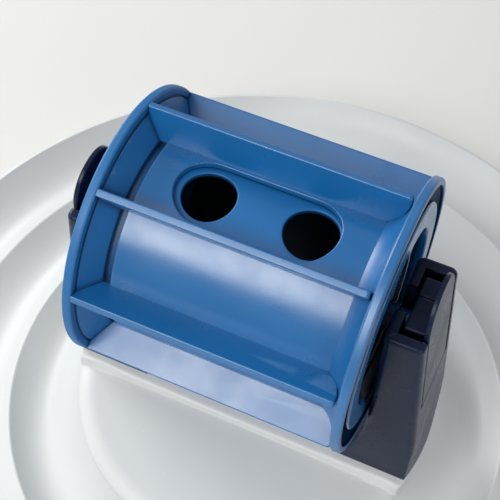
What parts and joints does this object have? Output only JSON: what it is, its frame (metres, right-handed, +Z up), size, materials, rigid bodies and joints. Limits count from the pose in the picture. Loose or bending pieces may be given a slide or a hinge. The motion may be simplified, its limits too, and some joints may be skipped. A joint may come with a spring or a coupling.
{
  "type": "pet puzzle feeder",
  "caption": "Round pet feeding bowl with concentric troughs; a finned drum on two pillars turns when pushed and drops treats through a shuttered window.",
  "frame": {"origin": "on the floor, under the middle of the bowl", "axes": "+Z up; X along the drum's axis, with the end lid at +X; the front of the bowl faces -Y"},
  "size_m": [0.284, 0.284, 0.1637],
  "materials": {
    "grey_plastic": "satin moulded, pale cool grey",
    "blue_plastic": "semi-gloss moulded, mid blue",
    "navy_plastic": "semi-gloss moulded, very dark navy",
    "rubber": "matte dark grey",
    "steel": "zinc plated"
  },
  "bodies": {
    "base": {"bowl": "grey_plastic", "rubber_foot_1": "rubber", "rubber_foot_2": "rubber", "rubber_foot_3": "rubber", "rubber_foot_4": "rubber", "rubber_foot_5": "rubber", "rubber_foot_6": "rubber", "left_pillar": "navy_plastic", "right_pillar": "navy_plastic", "left_pillar_screws": "steel", "right_pillar_screws": "steel"},
    "left_tongue": {"left_tongue": "navy_plastic"},
    "right_tongue": {"right_tongue": "navy_plastic"},
    "drum": {"drum_barrel": "blue_plastic", "left_flange": "blue_plastic", "right_flange": "blue_plastic", "fin_1": "blue_plastic", "fin_2": "blue_plastic", "fin_3": "blue_plastic", "fin_4": "blue_plastic", "fin_5": "blue_plastic", "fin_6": "blue_plastic", "fin_7": "blue_plastic", "fin_8": "blue_plastic", "left_axle_stub": "blue_plastic"},
    "shutter": {"shutter_sleeve": "blue_plastic", "end_lid": "blue_plastic", "right_axle_stub": "blue_plastic"}
  },
  "joints": [
    {"name": "drum_spin", "type": "hinge", "parent": "base", "child": "drum", "pos_m": [0, 0, 0.121], "axis": [1, 0, 0], "continuous": true},
    {"name": "shutter_turn", "type": "hinge", "parent": "drum", "child": "shutter", "pos_m": [0, 0, 0.121], "axis": [1, 0, 0], "range_deg": [0, 36]},
    {"name": "left_tab_flex", "type": "hinge", "parent": "base", "child": "left_tongue", "pos_m": [-0.05829, 0, 0.095], "axis": [0, -1, 0], "range_deg": [0, 9], "stiffness_Nm_per_rad": 2.5},
    {"name": "right_tab_flex", "type": "hinge", "parent": "base", "child": "right_tongue", "pos_m": [0.05829, 0, 0.095], "axis": [0, 1, 0], "range_deg": [0, 9], "stiffness_Nm_per_rad": 2.5}
  ]
}
